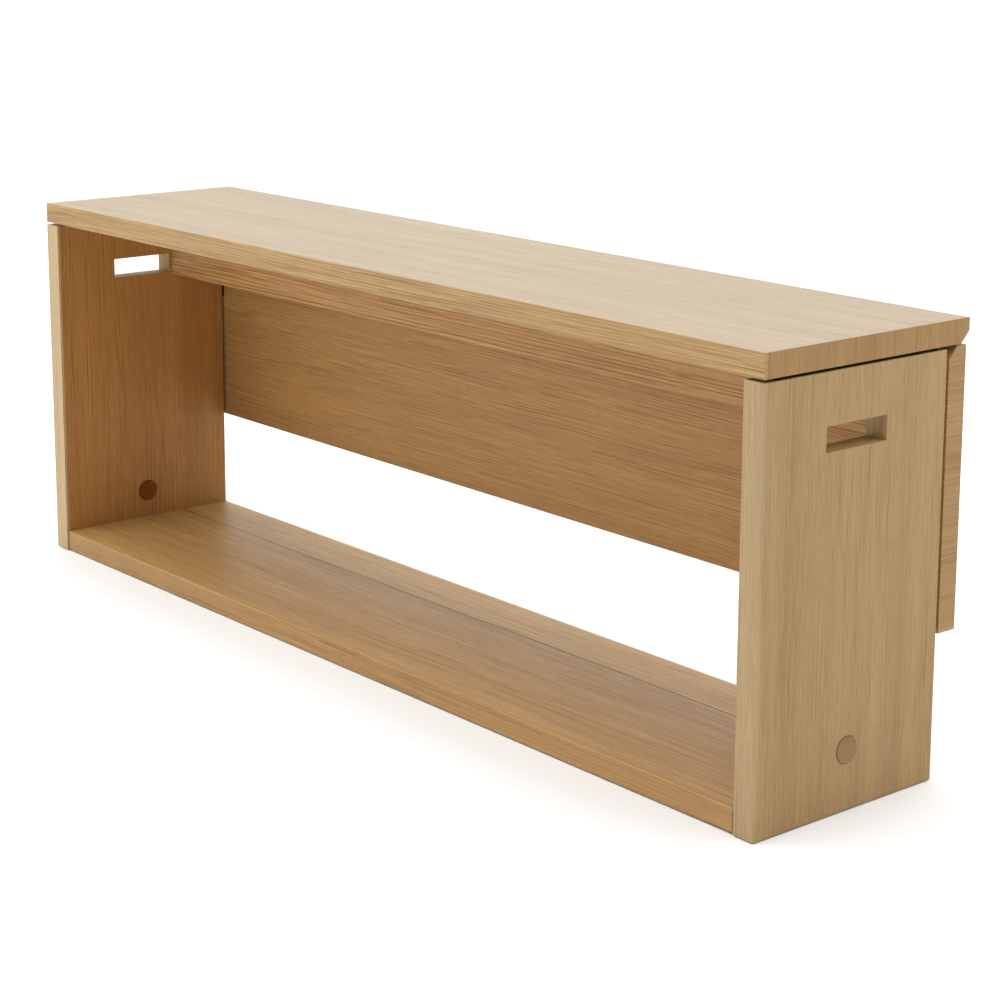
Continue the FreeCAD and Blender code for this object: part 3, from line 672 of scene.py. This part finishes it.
def dress_fittings():
    """Plugs, knobs, dowels, steel fittings, spacers, bumpers and pads."""
    outer_plugs = oak_plug("oak_outer_plugs", ALONG_Y, PLUG_OAK, "plug_right_outer")
    # Inner plugs: darker end grain with the inner faces' painted warm shade.
    inner_plugs = oak_plug("oak_inner_plugs", ALONG_Z, INNER_PLUG_OAK_SHADED, "plug_left_inner")
    dress(outer_plugs, "plug_left_outer", "plug_right_outer")
    dress(inner_plugs, "plug_left_inner", "plug_right_inner")
    dress(oak("oak_knobs", ALONG_X, FRAME_OAK), *numbered("bar_knob", BAR_COUNT))
    dress(beech("beech_dowels", ALONG_X, BEECH), "shelf_dowels", "rail_dowels")
    dress(beech("beech_seam_dowels", ALONG_Y, BEECH), "seam_dowels")
    dress(plated_steel("steel_bars", ALONG_Y), *numbered("support_bar", BAR_COUNT))
    fittings = plated_steel("steel_fittings", ALONG_X)
    for stem in ("hinge_body", "hinge_arm", "hinge_pin"):
        dress(fittings, *numbered(stem, HINGE_COUNT))
    dress(fittings, "hinge_body_screws", "hinge_arm_screws", "corner_angles", "angle_screws")
    dress(fittings, "cam_bolts", "cam_locks")
    # The spacers' near-black colour is partly painted shade of the gap under the top.
    dress(moulded("spacer_plastic", SPACER_PLASTIC_AND_SHADE, gloss=0.03), "spacer_left", "spacer_right")
    dress(moulded("bumper_rubber", BUMPER_RUBBER, gloss=0.25), "leaf_bumpers")
    dress(felt("felt_pads", PAD_FELT), "foot_pads")


def make_floor():
    """A wide plain floor under the table."""
    half = FLOOR_HALF
    mesh = bpy.data.meshes.new("floor")
    corners = [(-half, -half, 0.0), (half, -half, 0.0), (half, half, 0.0), (-half, half, 0.0)]
    mesh.from_pydata(corners, [], [(0, 1, 2, 3)])
    floor = bpy.data.objects.new("floor", mesh)
    bpy.context.scene.collection.objects.link(floor)
    mesh.materials.append(studio_floor("studio_floor"))


def add_lamp(name, light, backward):
    """Puts a light into the scene, turned so that its back looks along a direction."""
    lamp = bpy.data.objects.new(name, light)
    lamp.rotation_mode = "QUATERNION"
    lamp.rotation_quaternion = backward.to_track_quat("Z", "Y")
    bpy.context.scene.collection.objects.link(lamp)
    return lamp


def soft_sun(name, toward, strength, spread):
    """A broad even light that comes from a direction, spread over an angle in degrees."""
    light = bpy.data.lights.new(name, "SUN")
    light.energy = strength
    light.angle = math.radians(spread)
    add_lamp(name, light, Vector(toward))


def soft_box(name, place, target, side, power):
    """A square soft light that stands at a place and faces a target."""
    light = bpy.data.lights.new(name, "AREA")
    light.shape = "SQUARE"
    light.size = side
    light.energy = power
    lamp = add_lamp(name, light, Vector(place) - Vector(target))
    lamp.location = place


def make_light():
    """A white backdrop behind the table, two soft boxes and a broad light from above."""
    world = bpy.data.worlds.new("studio")
    world.use_nodes = True
    graph = world.node_tree
    background = graph.nodes["Background"]
    background.inputs["Color"].default_value = (1.0, 1.0, 1.0, 1.0)
    coords = graph.nodes.new("ShaderNodeTexCoord")
    toward_back = graph.nodes.new("ShaderNodeVectorMath")
    toward_back.operation = "DOT_PRODUCT"
    toward_back.inputs[1].default_value = BACKDROP_SIDE
    graph.links.new(coords.outputs["Generated"], toward_back.inputs[0])
    glow = remap(graph, toward_back.outputs["Value"], -1.0, 1.0, OPPOSITE_GLOW, BACKDROP_GLOW)
    graph.links.new(glow, background.inputs["Strength"])
    bpy.context.scene.world = world
    for name, (place, target, side, power) in SOFT_BOXES.items():
        soft_box(name, place, target, side, power)
    soft_sun("key_above", SUN_SIDE, SUN_STRENGTH, SUN_SPREAD)


def make_camera():
    """The camera at the photograph's place and angle."""
    data = bpy.data.cameras.new("camera")
    data.sensor_width = SENSOR_WIDTH
    data.lens = FOCAL_PIXELS / PICTURE_SIDE * SENSOR_WIDTH
    data.shift_y = CAMERA_SHIFT_Y
    camera = bpy.data.objects.new("camera", data)
    forward = Vector((
        -math.sin(CAMERA_YAW) * math.cos(CAMERA_PITCH),
        math.cos(CAMERA_YAW) * math.cos(CAMERA_PITCH),
        -math.sin(CAMERA_PITCH),
    ))
    right = Vector((math.cos(CAMERA_YAW), math.sin(CAMERA_YAW), 0.0))
    upward = right.cross(forward)
    camera_x = math.cos(CAMERA_ROLL) * right + math.sin(CAMERA_ROLL) * upward
    camera_y = math.cos(CAMERA_ROLL) * upward - math.sin(CAMERA_ROLL) * right
    turn = Matrix((camera_x, camera_y, -forward)).transposed()
    camera.matrix_world = Matrix.Translation(CAMERA_PLACE) @ turn.to_4x4()
    bpy.context.scene.collection.objects.link(camera)
    bpy.context.scene.camera = camera


dress_top()
dress_leaf()
dress_frame()
dress_shelf()
dress_fittings()
make_floor()
make_light()
make_camera()
bpy.context.scene.view_settings.view_transform = "Standard"
